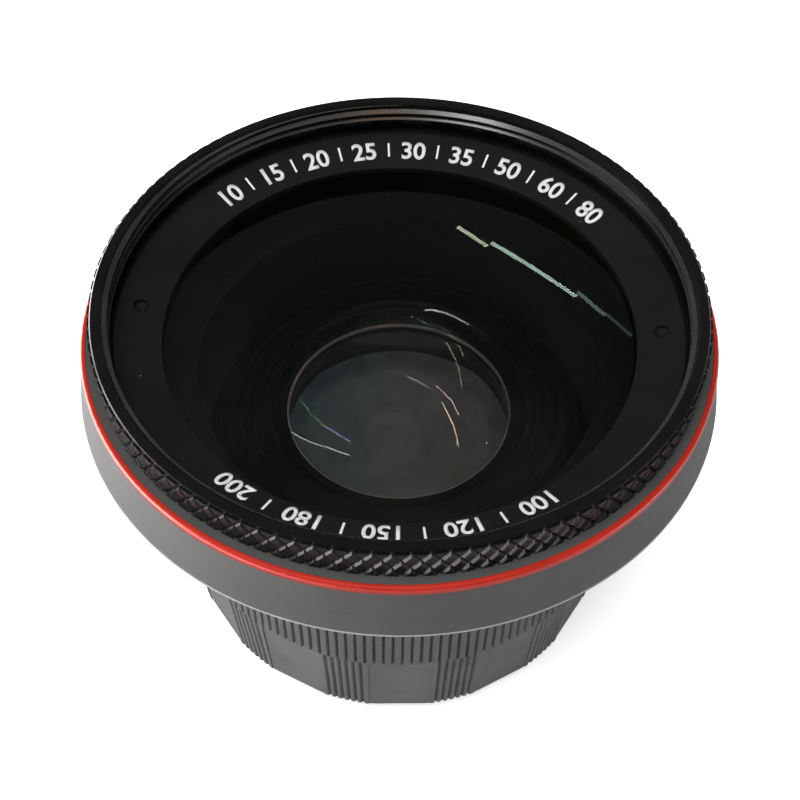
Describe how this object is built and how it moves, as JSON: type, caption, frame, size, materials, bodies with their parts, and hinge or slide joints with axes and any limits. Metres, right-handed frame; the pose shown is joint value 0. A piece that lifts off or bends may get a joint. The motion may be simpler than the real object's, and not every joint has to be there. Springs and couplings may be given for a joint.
{
  "type": "wide-angle conversion lens",
  "caption": "Screw-in wide-angle conversion lens with a knurled filter ring, red accent ring, ribbed rear sleeve and a macro unit that unscrews from its back.",
  "frame": {"origin": "centre of the rear thread's foot, on the optical axis", "axes": "+Z along the optical axis towards the front glass; +X and -X through the two spanner holes of the name ring"},
  "size_m": [0.0588, 0.0588, 0.04],
  "materials": {
    "black_anodised": "gloss black anodised, knurled",
    "satin_black": "satin black, white printed marks",
    "coated_glass": "polished, green multi-layer coating",
    "gasket_rubber": "matt",
    "gunmetal": "satin gunmetal",
    "red_accent": "satin red",
    "dark_grip": "satin dark grey",
    "matt_black": "matt black",
    "macro_glass": "polished, faint violet coating"
  },
  "bodies": {
    "macro_unit": {"macro_housing": "dark_grip", "macro_front_element": "macro_glass", "macro_spacer": "matt_black", "macro_rear_element": "macro_glass", "macro_retaining_ring": "matt_black"},
    "wide_unit": {"front_ring": "black_anodised", "name_ring": "satin_black", "front_lens": "coated_glass", "front_lens_gasket": "gasket_rubber", "main_housing": "gunmetal", "red_ring": "red_accent", "rear_sleeve": "dark_grip", "light_baffle": "matt_black"}
  },
  "joints": [
    {"name": "macro_unscrew", "type": "slide", "parent": "macro_unit", "child": "wide_unit", "axis": [0, 0, 1], "range_m": [0, 0.03]}
  ]
}
